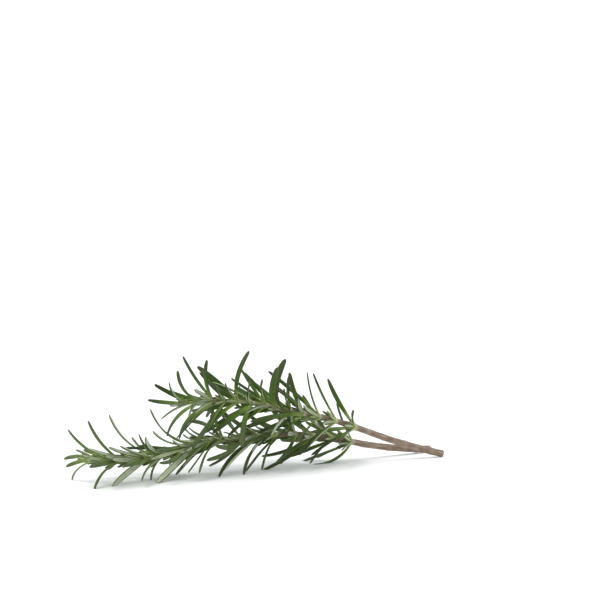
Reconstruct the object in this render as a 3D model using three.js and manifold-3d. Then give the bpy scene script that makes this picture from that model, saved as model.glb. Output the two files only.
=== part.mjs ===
// A small bunch of fresh rosemary: two leafy sprigs lying on a flat surface, one on
// the other, with their cut ends side by side. Millimetres. +Z is up, +X runs from the
// leafy tips to the cut ends, and the origin is under the middle of the bunch, on the
// surface it lies on.
//
// Each sprig is one woody stem and a row of leaf clusters. Every cluster sits at one
// joint of the stem: a short sleeve round the stem, from which its needle leaves grow.
import * as THREE from 'three';
import { mergeVertices } from 'three/addons/utils/BufferGeometryUtils.js';
import Module from 'manifold-3d';

const wasm = await Module();
wasm.setup();

// ---- driving dimensions ---------------------------------------------------------
const STEM_TIP_R = 0.75;      // stem radius at the growing tip
const STEM_CUT_R = 1.75;      // stem radius at the cut end
const STEM_TAPER = 0.8;       // exponent of the taper between them
const STEM_SIDES = 8;
const STEM_STEP = 8;          // spacing of the stem's rings
const SLEEVE_GAP = 0.3;       // free space between a stem and the sleeve round it
const SLEEVE_WALL = 0.7;      // wall of a sleeve
const SLEEVE_LENGTH = 2.0;    // along the stem
const SLEEVE_SIDES = 6;
const LEAF_THICKNESS = 0.9;   // at the middle of a leaf
const LEAF_STATIONS = [0, 0.3, 0.7, 1];        // fractions of the leaf's length
const LEAF_WIDTHS = [0.6, 0.95, 0.95, 0];      // of the full width, at each station
const LEAF_THICK = [0.62, 1.0, 0.9, 0];        // of the full thickness

// Each sprig: the stem's centre line from tip to cut end, then its leaf clusters. 'at' is
// the distance along the stem from the tip. A leaf is [azimuth, splay, curl, sway, roll,
// length, width]: azimuth round the stem from straight up, splay away from the stem's
// direction of growth, curl and sway along the leaf, and roll about it, all in degrees.
const SPRIGS = {
  a: {
    path: [
      [-89.53, 1.17, 12.25], [-84.6, 0.76, 11.85], [-79.67, 0.65, 11.23], [-74.74, 0.89, 10.7], [-69.81, 1.37, 10.34],
      [-64.88, 1.91, 10.2], [-59.94, 2.39, 10.29], [-54.99, 2.74, 10.58], [-50.05, 2.91, 11.03], [-45.12, 2.88, 11.68],
      [-40.26, 2.66, 12.67], [-35.54, 2.4, 14.17], [-30.79, 2.2, 15.61], [-25.87, 2.06, 16.28], [-20.91, 1.99, 16.21],
      [-15.96, 1.96, 15.84], [-10.99, 1.95, 15.65], [-6.03, 1.95, 15.69], [-1.06, 1.96, 15.85], [3.9, 1.94, 16.01],
      [8.87, 1.87, 16.1], [13.83, 1.73, 16.02], [18.78, 1.55, 15.68], [23.71, 1.4, 15.05], [28.6, 1.28, 14.23],
      [33.49, 1.18, 13.36], [38.38, 1.1, 12.45], [43.25, 1.06, 11.47], [48.1, 1.07, 10.4], [52.93, 1.14, 9.28],
      [57.77, 1.26, 8.15], [62.62, 1.4, 7.07], [67.48, 1.58, 6.09], [72.36, 1.78, 5.19], [77.26, 2, 4.38],
      [82.17, 2.23, 3.66], [87.09, 2.48, 3.02], [92.02, 2.74, 2.47], [96.96, 2.99, 1.99], [101.9, 3.25, 1.6],
    ],
    whorls: [
      { at: 1.61, leaves: [
        [45.3, 34.8, 34.2, -4.1, 9.5, 8.34, 1.42],
        [90.8, 31.9, 8.1, -5.1, 169.6, 16.46, 2],
      ] },
      { at: 5.84, leaves: [
        [65.5, 25.7, 8.9, -0.1, 0.2, 10.5, 1.49],
        [250, 60.7, 45.3, 10.1, 54, 24.75, 1.7],
        [281, 52.3, 11.7, 16.7, -23, 18.94, 2],
        [283.4, 68.1, 15.3, 6.5, -45.9, 16.78, 1.7],
      ] },
      { at: 10.68, leaves: [
        [75, 22.9, 3.3, -0, -10, 13.01, 1.67],
        [251.3, 49.8, 8.1, -10.6, 21.8, 15.07, 1.83],
        [266.3, 42.3, 25.9, -1.3, 15.8, 15.1, 1.95],
        [297.4, 36.9, 33.8, -7.9, -22, 23.58, 1.8],
        [313.6, 36.1, 7.5, 13.1, 24.3, 11.59, 1.78],
      ] },
      { at: 16.73, leaves: [
        [0.9, 28.7, 33.5, -0.8, 6.3, 25.03, 2.4],
        [91.4, 27.6, -3.5, -1.6, 160, 23.12, 2.5],
        [97.5, 41, 13.2, 1.9, -64.9, 21.75, 2.4],
        [153.7, 13.6, 52.7, -1.5, -5.8, 19.77, 2.4],
        [259.8, 49.1, 14.6, -1.1, 6.9, 16.75, 1.99],
      ] },
      { at: 24.1, leaves: [
        [56.2, 15.7, 3.4, 7, -2.5, 27.51, 1.75],
        [61.8, 20.2, 4.1, 0, -18.4, 20, 2.28],
        [78.9, 23.3, 11.5, 2.6, 4.3, 18.62, 2.28],
        [276.8, 41.3, 10.3, 4.9, 10.6, 22.92, 2.3],
      ] },
      { at: 31.96, leaves: [
        [46.1, 17.5, 15.1, 3.1, -15.5, 26.23, 1.75],
        [49.8, 30, 13.2, -1.4, 23.5, 25.36, 2.65],
        [92.5, 33.4, -0, 4.1, -100.9, 25.53, 2.5],
        [149.3, 15.2, 18.5, -1, 68.4, 23.87, 2.85],
        [255.2, 40.2, -2.8, -8.8, 17.4, 25.85, 2.32],
        [271.9, 41.1, 2.8, -1.9, 3, 23.47, 2.23],
        [297.6, 89.2, 20.2, 11.8, -30.1, 21.51, 2.65],
      ] },
      { at: 39.72, leaves: [
        [52.7, 35.3, 35.9, 0.7, -54.8, 26.66, 2],
        [68.4, 30, 31.5, 19.4, 186.3, 26.56, 2.65],
        [109, 22.6, 38.2, 1.4, -17.9, 27.23, 2.65],
        [196.7, 25.2, 47.1, 18.8, 28.2, 13.1, 2.65],
        [251.2, 49.4, 10.5, -7.6, 5.1, 25.37, 2.76],
        [269.1, 53.3, 23, -32.8, -62.7, 36.4, 2.65],
      ] },
      { at: 48.49, leaves: [
        [33.1, 23.9, 6.2, -0.5, 49.8, 24.21, 2.65],
        [75.2, 21.9, 6.4, -0, 26.1, 20.11, 2.33],
        [96.9, 57.6, -22.9, 11, -114.8, 28.34, 2.5],
        [259.9, 40.6, 13.1, 2.2, -11, 24.07, 2.56],
        [283.7, 30, 14.6, 5.7, -0.9, 22.32, 2.7],
        [328.1, 18.9, -5.4, -7, -1.3, 26.53, 2.57],
      ] },
      { at: 57.06, leaves: [
        [61.5, 25.1, 1.8, 3.2, 210.6, 26.85, 2.65],
        [70.4, 33.5, 30.4, 9.3, -2.4, 26.97, 1.5],
        [119.3, 21.8, 2.1, -2, 71.8, 30.28, 3],
        [195.6, 33.9, -10.3, -4.8, 49.6, 21.03, 2.49],
        [224.9, 37, 13.5, 3.7, -12.9, 20.05, 2.45],
        [268.7, 45.3, 47.2, -15.3, -56.3, 28.07, 2.65],
        [280.7, 47.2, 50.3, -26.9, -29.6, 31.25, 2.65],
      ] },
      { at: 64.13, leaves: [
        [91.7, 26.3, 9.7, -0.8, -15.1, 20.88, 2.34],
        [107.8, 28.9, 13.4, -4.2, -21.8, 26.37, 2.65],
        [114, 46.1, -7.2, -5.4, -23.5, 26.83, 2.65],
        [206.1, 35.8, 19.1, 1.5, 16.2, 22.43, 2.64],
        [258.9, 70.7, 30.7, -10.8, -56.8, 24.76, 2.65],
        [266.8, 71.9, 27.4, -13.7, -47.1, 24.93, 2.65],
        [279.7, 78.9, 30.9, 4.8, -46.2, 24.47, 2.65],
      ] },
      { at: 70.78, leaves: [
        [47, 31.2, 42.6, 6, 11.9, 20.1, 2.61],
        [101, 26.9, 31.9, -20.5, -28.7, 28.8, 2.65],
        [162.5, 23.5, -6.7, -5.4, -18.6, 25.42, 2.36],
        [236.6, 45.1, 23.9, -3.5, -25.6, 25.45, 2.37],
        [302.7, 79.7, -6.5, 20.8, -24.5, 26.12, 2.65],
        [359.1, 61.4, 11.2, 3.7, 17.6, 23.67, 2.53],
      ] },
      { at: 80.36, leaves: [
        [26.4, 42.4, 8.8, -1.3, -18.5, 24.03, 2.64],
        [105.7, 60.9, -51.2, 10.7, 179, 29.05, 2.65],
        [113.5, 52.3, -47.2, -1.9, 181.4, 28.82, 2.65],
        [126.6, 45.4, -26.2, -1, -50.2, 27.32, 2.65],
        [268, 41.4, 15.5, 5, -4.1, 25.19, 2.4],
        [334.9, 58.6, 17.4, 0.6, 5.3, 22.19, 2.31],
      ] },
      { at: 89.63, leaves: [
        [16.6, 32.8, 3.1, 0.2, -10.8, 20.71, 2.47],
        [76, 35.7, 18.6, -4, -27.1, 21.78, 2.44],
        [138.7, 23.7, 16.3, 0.2, 44.9, 27.91, 1.65],
        [143.8, 12.1, 40.6, -3.7, -30, 31.03, 2.65],
        [256.4, 45.8, 10.3, -2.7, -19.9, 25.85, 2.56],
        [310.3, 43.5, 18.7, -6.2, -14, 21.6, 2.59],
      ] },
      { at: 99.81, leaves: [
        [76.1, 27.9, -2.3, -9.7, 125.3, 29.05, 2.65],
        [105.8, 18.5, 34.2, 0.6, 12.3, 26.52, 1.65],
        [115.8, 5.5, 59.8, -19.4, -37.5, 30.93, 2.65],
        [125, 37.9, 25.9, -15.3, -11.5, 22.02, 2.65],
        [135.4, 31.5, 10.7, -12, -22.4, 25.85, 2.65],
        [205.7, 19.4, -12.9, -10.2, 10.7, 22.69, 2.49],
        [264, 67.1, 32.1, -0.5, -61.2, 24.33, 2.65],
        [270.7, 80.4, 27.3, -4, -62.1, 23.98, 2.65],
        [272.4, 64.9, 43.2, 2.7, -52, 24.48, 2.65],
        [333, 33.7, 20.1, 1.2, 4.1, 26.37, 2.47],
      ] },
      { at: 110.08, leaves: [
        [24.8, 36.8, 17.8, 5.8, -17, 23.86, 2.55],
        [54.3, 50.9, 15.5, 5.6, -46.8, 23.71, 2.34],
        [82.9, 42.9, 16.1, 0.3, -16.4, 21.26, 2.79],
        [120.3, 58.1, -21.7, -4.2, -40.3, 27.62, 2.65],
        [245.4, 38.3, 20.4, -5.2, -3.8, 23.23, 2.38],
        [276, 52.3, 19, -5.3, -28.4, 24.95, 2.65],
        [323.4, 45.1, 30.8, 0.7, 17.3, 25.61, 2.58],
      ] },
      { at: 120.26, leaves: [
        [94.9, 42.6, 12.9, 6.1, 9.3, 24.99, 2.3],
        [164.5, 33.7, -22.7, -2.6, -32.6, 30, 2.65],
        [167.1, 42.5, -15.5, -4.2, -26.1, 31.5, 2.65],
        [215.3, 41.9, 36.7, 4.6, -17.8, 20.65, 2.36],
        [307.2, 43.4, 14.3, -2.4, 18.6, 22.22, 2.66],
      ] },
      { at: 131.25, leaves: [
        [56.9, 30.4, 2.7, 1, -7.2, 25.5, 2.31],
        [131.8, 35.4, 17.5, 0.2, -10.5, 25.59, 2.76],
        [191.9, 28.4, 1.1, -1.1, -14.7, 23.09, 2.43],
        [252.3, 36.5, 13.8, -0.3, -12.1, 24.76, 2.67],
        [338.2, 40.8, 22.6, 2.7, 16.2, 24.76, 2.5],
      ] },
      { at: 143.34, leaves: [
        [15.5, 38.5, 13.8, -3.4, -6.2, 24.59, 2.46],
        [101.4, 41.7, 9.6, -1, -24.8, 25.33, 2.43],
        [158.7, 20.2, 11.3, 2.3, -3.4, 24, 2.62],
        [180, 62.7, -57.6, 0, 0, 24, 2.6],
        [218.8, 42, 1.1, -0.1, 23.9, 25.17, 2.46],
        [283, 44.2, 21.2, -0.3, -15.5, 25.73, 2.29],
      ] },
    ],
  },
  b: {
    path: [
      [-42.13, -3.26, 35.23], [-37.15, -3.87, 35.2], [-32.15, -4.35, 35.28], [-27.15, -4.66, 35.3], [-22.14, -4.77, 35.13],
      [-17.14, -4.82, 34.72], [-12.17, -4.93, 34], [-7.24, -5.17, 33.14], [-2.31, -5.51, 32.24], [2.52, -5.99, 31],
      [7.32, -6.55, 29.63], [12.15, -7.1, 28.41], [17.01, -7.61, 27.25], [21.87, -8.05, 26.1], [26.73, -8.42, 24.9],
      [31.57, -8.74, 23.61], [36.37, -9.04, 22.2], [41.14, -9.33, 20.67], [45.87, -9.59, 19.02], [50.57, -9.82, 17.27],
      [55.25, -10.03, 15.48], [59.93, -10.25, 13.68], [64.63, -10.48, 11.93], [69.35, -10.73, 10.26], [74.1, -11, 8.66],
      [78.87, -11.3, 7.13], [83.65, -11.62, 5.66], [88.45, -11.97, 4.25], [93.27, -12.34, 2.9], [98.1, -12.74, 1.6],
    ],
    whorls: [
      { at: 1.87, leaves: [
        [38.9, 30, 1.2, 3.9, 124.2, 21.22, 2.03],
        [66.9, 29.2, 41, 14, -9.1, 22.24, 1.45],
        [88.6, 33.9, 18.6, 1.3, -9.9, 18.15, 1.55],
        [262.8, 39.5, 10.7, -5.9, -28.6, 20.66, 2.1],
      ] },
      { at: 7.79, leaves: [
        [44.5, 25.4, 53.3, 8.1, 40.6, 25.36, 2.3],
        [79.2, 24.4, 2.7, -14.7, -50.2, 27.77, 1.5],
        [240.9, 40.6, 43.3, 17.9, 17.9, 25.69, 2.3],
        [307.6, 24.8, 12.4, -0.1, 16.3, 16.33, 2.16],
      ] },
      { at: 14.28, leaves: [
        [7.5, 43, 19, 1.6, 14.8, 26.75, 2.45],
        [31.4, 50.5, 37, -1.8, 21.8, 26.26, 2.45],
        [63.2, 44.3, 3.8, -1.2, -24.6, 24.09, 2],
        [64.5, 25.2, 18.1, -25.5, -23.9, 27.83, 1.6],
        [96.2, 36.5, 18.2, -1.3, -6.1, 24.33, 1.6],
        [162.1, 31.7, 12, -3.1, 10.3, 25.14, 2.48],
        [206.1, 43.5, 17.8, 0.2, 33, 22.08, 2.57],
        [266.9, 125.2, -36.4, 19.3, -5.3, 29.64, 2.45],
        [270.4, 69, 34.9, -1.3, -49.3, 23.01, 2.45],
      ] },
      { at: 20.54, leaves: [
        [15.4, 36.2, 7.6, 2.4, 16.2, 20.15, 2.55],
        [76.4, 46.8, 15.8, 8.1, 11.3, 25.67, 2.65],
        [130.2, 42.2, 11, -3.3, -1.8, 25.92, 2.76],
        [197.8, 54.3, 12.4, 7.2, 8.9, 25.55, 2.53],
        [246.2, 35.2, 65.5, 17.3, 4.3, 33.94, 2.65],
        [321.1, 57.1, 25, 0.8, -7.5, 18.74, 2.55],
      ] },
      { at: 26.87, leaves: [
        [38.3, 54.7, 50.1, 5.7, 21, 29.65, 2.65],
        [58.6, 38.4, 22.3, -5.2, 8.9, 25.95, 2.65],
        [58.9, 26.3, 10.6, 1.8, 182.1, 25.48, 2.65],
        [137.2, 27.8, 28.2, -19.7, -72.3, 34.02, 2.65],
        [237.3, 45.9, 15.7, -8.5, 6.5, 23.7, 2.39],
        [296, 47.4, 32.7, -6.1, -22.6, 26.57, 2.26],
        [344.3, 37.1, -3.8, 2.9, 65.1, 24.78, 2.74],
      ] },
      { at: 34.9, leaves: [
        [3.6, 22.4, -14.5, -6.1, -14.6, 24.78, 2.3],
        [91.2, 52.5, 2.5, 10.4, 5.5, 25.82, 1.5],
        [95.8, 48.7, 14.4, 27.9, 3.9, 28.7, 2.65],
        [113.9, 48.1, 37.3, -21.8, -62.9, 29.45, 2.65],
        [140.2, 34.6, 5.2, -7.5, -75, 27.68, 2.65],
        [217.2, 45.9, 14.8, 0.4, 10.1, 26.35, 2.62],
        [268.8, 96, 8.5, -15, -28.3, 25.46, 2.65],
      ] },
      { at: 41.8, leaves: [
        [52.7, 46.7, 24.4, -7.4, -4, 27.03, 2.65],
        [94.3, 46.1, 2.8, -6.4, -35.6, 25.7, 2.65],
        [171.6, 38, 13.5, 6.4, -12.5, 24.88, 2.63],
        [236.8, 50, 14.5, 2.9, 8.6, 26.09, 2.66],
        [291.7, 44, 21.5, 3.1, 8.4, 18.82, 2.69],
        [337, 39.9, 13.3, -0.9, -10, 20.38, 2.58],
      ] },
      { at: 48.21, leaves: [
        [31.4, 49.8, 47.7, 3.5, 76.1, 27.2, 3.3],
        [73, 40.2, 40.8, 25.1, 75, 29.96, 3.19],
        [198.3, 18.4, 11.2, -1.5, 3.8, 18.37, 2.28],
        [250.2, 52, 29.1, -0.3, 5.4, 26.3, 2.56],
        [290.3, 43.1, 4.4, -2.7, -47.1, 27.17, 2.65],
        [306.7, 49.8, 11.6, 0.9, -7.3, 25.02, 2.65],
      ] },
      { at: 55.19, leaves: [
        [2.1, 60.2, 15.3, -11.2, 3.8, 17, 2.54],
        [59.9, 46.8, 14.3, 2.4, 14.9, 21.5, 2.73],
        [94.4, 39.8, 8.4, 20.3, 74.8, 27.36, 2.65],
        [136.1, 45.1, 16.1, 9.9, 37.1, 26.17, 2.3],
        [166.8, 52, 3.5, -3.6, -2.4, 22.91, 2.76],
        [222.7, 42.8, 14.6, -3.7, -13.6, 25.53, 2.4],
        [293.3, 45.5, 15.7, -3.7, 13.4, 24.39, 2.65],
      ] },
      { at: 62.25, leaves: [
        [39.8, 36, -16.7, 0.2, 163.6, 27.84, 2.65],
        [73.8, 43.7, 19.3, 4.8, -18.7, 21.2, 2.59],
        [96.6, 34.5, -34.3, -12, 166.4, 34, 2.65],
        [149.3, 37.8, 16.8, -6.1, -3.4, 25.03, 2.76],
        [214.1, 37.1, 1.7, 3.8, 0.3, 21.89, 2.33],
        [263.7, 39.8, 19.6, 0.3, 6.5, 25.62, 2.34],
        [341.4, 51.3, 16.3, -7.7, 20.9, 20, 2.72],
      ] },
      { at: 70.6, leaves: [
        [31.1, 42.9, 17.6, 3.3, -13.4, 26.64, 2.47],
        [80.2, 34.5, 16.3, 1.3, 13.1, 24.94, 2.51],
        [127.7, 44.7, 10.9, -3, -20.3, 25.88, 2.38],
        [236.4, 43.7, 12.7, -0.8, -7.5, 25.92, 2.6],
        [322.6, 41.4, -3.1, 3.1, -7, 31.88, 2.65],
      ] },
      { at: 80.26, leaves: [
        [3.4, 37, 14.4, 1.8, -2.4, 26.04, 2.31],
        [99.9, 38, 19.7, 1.7, -22.2, 25.45, 2.44],
        [151.1, 39.7, 15.9, -1.3, 21.5, 23.28, 2.48],
        [189.7, 49, 15.4, 1.2, -29.8, 23.65, 2.58],
        [262.2, 44.9, 16.2, -0.2, -14.5, 25.51, 2.41],
      ] },
      { at: 91.54, leaves: [
        [70.1, 42.7, 20.7, -3, 15.4, 25.57, 2.54],
        [126.5, 41.5, 15.3, 0.1, 0.3, 20.38, 2.41],
        [173.5, 36.6, 17.5, -4, -4, 26.32, 2.71],
        [240.5, 43.5, 16.7, 1.7, 17.2, 25.84, 2.8],
        [327, 41.5, 21.8, -1.6, 16.3, 26.26, 2.39],
      ] },
    ],
  },
};

// ---- geometry helpers -----------------------------------------------------------
const V = (x, y, z) => new THREE.Vector3(x, y, z);
const rad = (d) => (d * Math.PI) / 180;

function measured(path) {
  const pts = path.map((p) => V(...p));
  const s = [0];
  for (let i = 1; i < pts.length; i++) s.push(s[i - 1] + pts[i].distanceTo(pts[i - 1]));
  return { pts, s, length: s[s.length - 1] };
}

function pointAt(line, at) {
  const a = Math.min(Math.max(at, 0), line.length);
  let i = 1;
  while (i < line.s.length - 1 && line.s[i] < a) i++;
  const f = (a - line.s[i - 1]) / (line.s[i] - line.s[i - 1]);
  return line.pts[i - 1].clone().lerp(line.pts[i], f);
}

// T points towards the growing tip, N up and square to it, B to the side.
function frameAt(line, at) {
  const T = pointAt(line, at - 2).sub(pointAt(line, at + 2)).normalize();
  const N = V(0, 0, 1).addScaledVector(T, -T.z).normalize();
  const B = N.clone().cross(T);
  return { T, N, B };
}

const stemRadius = (line, at) =>
  STEM_TIP_R + (STEM_CUT_R - STEM_TIP_R) * Math.pow(Math.min(Math.max(at / line.length, 0), 1), STEM_TAPER);

// Closed mesh through rings of points. 'loop' joins the last ring to the first;
// otherwise the ends are closed, and a ring of one point is an apex.
function ringsToGeometry(rings, loop = false) {
  const pos = [];
  const start = [];
  for (const ring of rings) {
    start.push(pos.length / 3);
    for (const p of ring) pos.push(p.x, p.y, p.z);
  }
  const idx = [];
  const band = (a, b) => {
    const na = rings[a].length;
    const nb = rings[b].length;
    const n = Math.max(na, nb);
    for (let i = 0; i < n; i++) {
      const j = (i + 1) % n;
      const a0 = start[a] + (na > 1 ? i : 0);
      const a1 = start[a] + (na > 1 ? j : 0);
      const b0 = start[b] + (nb > 1 ? i : 0);
      const b1 = start[b] + (nb > 1 ? j : 0);
      if (na > 1) idx.push(a0, a1, b0);
      if (nb > 1) idx.push(a1, b1, b0);
    }
  };
  for (let k = 0; k < rings.length - 1; k++) band(k, k + 1);
  if (loop) band(rings.length - 1, 0);
  else {
    const cap = (k, flip) => {
      const n = rings[k].length;
      for (let i = 1; i < n - 1; i++) {
        const t = [start[k], start[k] + i, start[k] + i + 1];
        idx.push(...(flip ? [t[0], t[2], t[1]] : t));
      }
    };
    cap(0, true);
    cap(rings.length - 1, false);
  }
  const g = new THREE.BufferGeometry();
  g.setAttribute('position', new THREE.Float32BufferAttribute(pos, 3));
  g.setIndex(idx);
  return g;
}

function toSolid(geometry) {
  let g = geometry.clone();
  g.deleteAttribute('normal');
  g.deleteAttribute('uv');
  g = mergeVertices(g, 1e-5);
  const p = g.attributes.position;
  const tri = Uint32Array.from(g.index.array);
  let vol = 0;
  const a = new THREE.Vector3();
  const b = new THREE.Vector3();
  const c = new THREE.Vector3();
  for (let i = 0; i < tri.length; i += 3) {
    a.fromBufferAttribute(p, tri[i]);
    b.fromBufferAttribute(p, tri[i + 1]);
    c.fromBufferAttribute(p, tri[i + 2]);
    vol += a.dot(b.cross(c));
  }
  if (vol < 0) for (let i = 0; i < tri.length; i += 3) [tri[i + 1], tri[i + 2]] = [tri[i + 2], tri[i + 1]];
  return new wasm.Manifold(new wasm.Mesh({ numProp: 3, vertProperties: Float32Array.from(p.array), triVerts: tri }));
}

function toGeometry(solid) {
  const m = solid.getMesh();
  const n = m.numProp;
  const pos = [];
  for (let i = 0; i < m.vertProperties.length; i += n) {
    pos.push(m.vertProperties[i], m.vertProperties[i + 1], m.vertProperties[i + 2]);
  }
  const g = new THREE.BufferGeometry();
  g.setAttribute('position', new THREE.Float32BufferAttribute(pos, 3));
  g.setIndex(Array.from(m.triVerts));
  g.computeVertexNormals();
  return g;
}

function circle(centre, N, B, r, sides = STEM_SIDES) {
  const ring = [];
  for (let i = 0; i < sides; i++) {
    const a = (2 * Math.PI * (i + 0.5)) / sides;
    ring.push(centre.clone().addScaledVector(N, r * Math.cos(a)).addScaledVector(B, r * Math.sin(a)));
  }
  return ring;
}

// The stem, grown by 'extra' all round, between two distances from the tip.
function stemGeometry(line, from, to, extra, step) {
  const rings = [];
  const n = Math.max(1, Math.ceil((to - from) / step));
  for (let i = 0; i <= n; i++) {
    const at = from + ((to - from) * i) / n;
    const { T, N, B } = frameAt(line, at);
    let r = stemRadius(line, at) + extra;
    if (extra === 0 && i === 0) r *= 0.55;
    const c = at < 0 ? pointAt(line, 0).addScaledVector(T, -at)
      : at > line.length ? pointAt(line, line.length).addScaledVector(T, line.length - at)
      : pointAt(line, at);
    rings.push(circle(c, N, B, r));
  }
  return ringsToGeometry(rings);
}

function sleeveGeometry(line, at) {
  const { T, N, B } = frameAt(line, at);
  const c = pointAt(line, at);
  const ri = (stemRadius(line, at) + SLEEVE_GAP) / Math.cos(Math.PI / SLEEVE_SIDES);
  const ro = ri + SLEEVE_WALL;
  const n = SLEEVE_SIDES;
  const h = SLEEVE_LENGTH / 2;
  const lo = c.clone().addScaledVector(T, -h);
  const hi = c.clone().addScaledVector(T, h);
  return ringsToGeometry([circle(lo, N, B, ro, n), circle(hi, N, B, ro, n), circle(hi, N, B, ri, n), circle(lo, N, B, ri, n)], true);
}

// A needle leaf: a flat three-sided blade, ridged above, along a curve that leaves the sleeve.
function leafGeometry(line, at, [azimuth, splay, curl, sway, roll, length, width]) {
  const { T, N, B } = frameAt(line, at);
  const r = stemRadius(line, at);
  const R = N.clone().multiplyScalar(Math.cos(rad(azimuth))).addScaledVector(B, Math.sin(rad(azimuth)));
  const S = T.clone().cross(R);
  const STEPS = 24;
  const start = pointAt(line, at).addScaledVector(R, 0.8 * r);
  const pts = [start.clone()];
  const dirs = [];
  for (let i = 0; i < STEPS; i++) {
    const t = (i + 0.5) / STEPS;
    const a = rad(splay + curl * t);
    const b = rad(2 * sway * t);
    const d = T.clone().multiplyScalar(Math.cos(a)).addScaledVector(R, Math.sin(a)).multiplyScalar(Math.cos(b)).addScaledVector(S, Math.sin(b));
    dirs.push(d);
    pts.push(pts[i].clone().addScaledVector(d, length / STEPS));
  }
  const lift = 0.2 * r + SLEEVE_GAP + 0.6 * SLEEVE_WALL;
  const rings = [];
  LEAF_STATIONS.forEach((t, k) => {
    const u = t * STEPS;
    const i = Math.min(Math.floor(u), STEPS - 1);
    const c = pts[i].clone().lerp(pts[i + 1], u - i);
    c.addScaledVector(R, lift * Math.max(0, 1 - t / 0.3));
    if (LEAF_WIDTHS[k] === 0) {
      rings.push([c]);
      return;
    }
    const d = dirs[i].clone().lerp(dirs[Math.max(0, Math.min(STEPS - 1, Math.round(u) - 1))], 0.5).normalize();
    const w = S.clone().addScaledVector(d, -d.dot(S)).normalize();
    const n = d.clone().cross(w);
    const across = w.clone().multiplyScalar(Math.cos(rad(roll))).addScaledVector(n, Math.sin(rad(roll)));
    const through = d.clone().cross(across);
    const hw = (LEAF_WIDTHS[k] * width) / 2;
    const ht = (LEAF_THICK[k] * LEAF_THICKNESS) / 2;
    rings.push([
      c.clone().addScaledVector(across, hw).addScaledVector(through, -0.5 * ht),
      c.clone().addScaledVector(through, ht),
      c.clone().addScaledVector(across, -hw).addScaledVector(through, -0.5 * ht),
    ]);
  });
  return ringsToGeometry(rings);
}

// ---- materials --------------------------------------------------------------------
const leafGreen = new THREE.MeshStandardMaterial({ color: 0x4f6f45, roughness: 0.55, metalness: 0 });
const leafYoung = new THREE.MeshStandardMaterial({ color: 0x7f9a5c, roughness: 0.6, metalness: 0 });
const stemBark = new THREE.MeshStandardMaterial({ color: 0x8a7458, roughness: 0.8, metalness: 0 });

// ---- assembly ---------------------------------------------------------------------
const bunch = new THREE.Group();
const lines = {};
for (const [key, sprig] of Object.entries(SPRIGS)) lines[key] = measured(sprig.path);

// What lies below the surface is pressed flat against it.
const below = toSolid(new THREE.BoxGeometry(400, 400, 40).translate(0, 0, -20));

for (const [key, sprig] of Object.entries(SPRIGS)) {
  const line = lines[key];
  let stem = toSolid(stemGeometry(line, 0, line.length, 0, STEM_STEP));
  stem = stem.subtract(below);
  const mesh = new THREE.Mesh(toGeometry(stem), stemBark);
  mesh.name = `sprig_${key}_stem`;
  bunch.add(mesh);

  sprig.whorls.forEach((whorl, i) => {
    let solid = toSolid(sleeveGeometry(line, whorl.at));
    for (const leaf of whorl.leaves) solid = solid.add(toSolid(leafGeometry(line, whorl.at, leaf)));
    // clear of its own stem, of the other sprig's stem and of the surface
    const reach = 9;
    for (const [other, path] of Object.entries(lines)) {
      const near = other === key ? [whorl.at - reach, whorl.at + reach] : [0, path.length];
      const core = toSolid(stemGeometry(path, near[0], near[1], SLEEVE_GAP - 0.03, STEM_STEP / 2));
      if (solid.intersect(core).volume() > 1e-4) solid = solid.subtract(core);
    }
    if (solid.boundingBox().min[2] < 0) solid = solid.subtract(below);
    const cluster = new THREE.Mesh(toGeometry(solid), i < 2 ? leafYoung : leafGreen);
    cluster.name = `sprig_${key}_leaves_${String(i + 1).padStart(2, '0')}`;
    bunch.add(cluster);
  });
}

export default bunch;
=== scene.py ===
# A small bunch of fresh rosemary, two leafy sprigs lying one on the other.
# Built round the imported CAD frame: +X runs from the leafy tips to the cut ends, +Z is up.
import math

import bpy
import numpy as np
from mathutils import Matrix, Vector


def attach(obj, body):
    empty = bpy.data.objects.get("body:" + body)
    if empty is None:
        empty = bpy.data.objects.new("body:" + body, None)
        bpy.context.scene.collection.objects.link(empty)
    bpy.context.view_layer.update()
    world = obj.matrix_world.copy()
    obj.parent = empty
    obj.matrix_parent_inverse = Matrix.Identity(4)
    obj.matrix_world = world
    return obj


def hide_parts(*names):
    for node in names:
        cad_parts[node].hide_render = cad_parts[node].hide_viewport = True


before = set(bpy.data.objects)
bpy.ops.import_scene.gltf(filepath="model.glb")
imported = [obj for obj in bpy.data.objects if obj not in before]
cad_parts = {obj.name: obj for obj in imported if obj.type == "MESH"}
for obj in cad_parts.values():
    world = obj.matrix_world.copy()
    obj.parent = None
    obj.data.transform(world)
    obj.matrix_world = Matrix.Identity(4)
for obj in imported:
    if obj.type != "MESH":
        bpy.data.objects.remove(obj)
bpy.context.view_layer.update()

MM = 0.001

# ---- the same construction table as the CAD model, in millimetres ------------------
STEM_TIP_R, STEM_CUT_R, STEM_TAPER = 0.75, 1.75, 0.8
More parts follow.
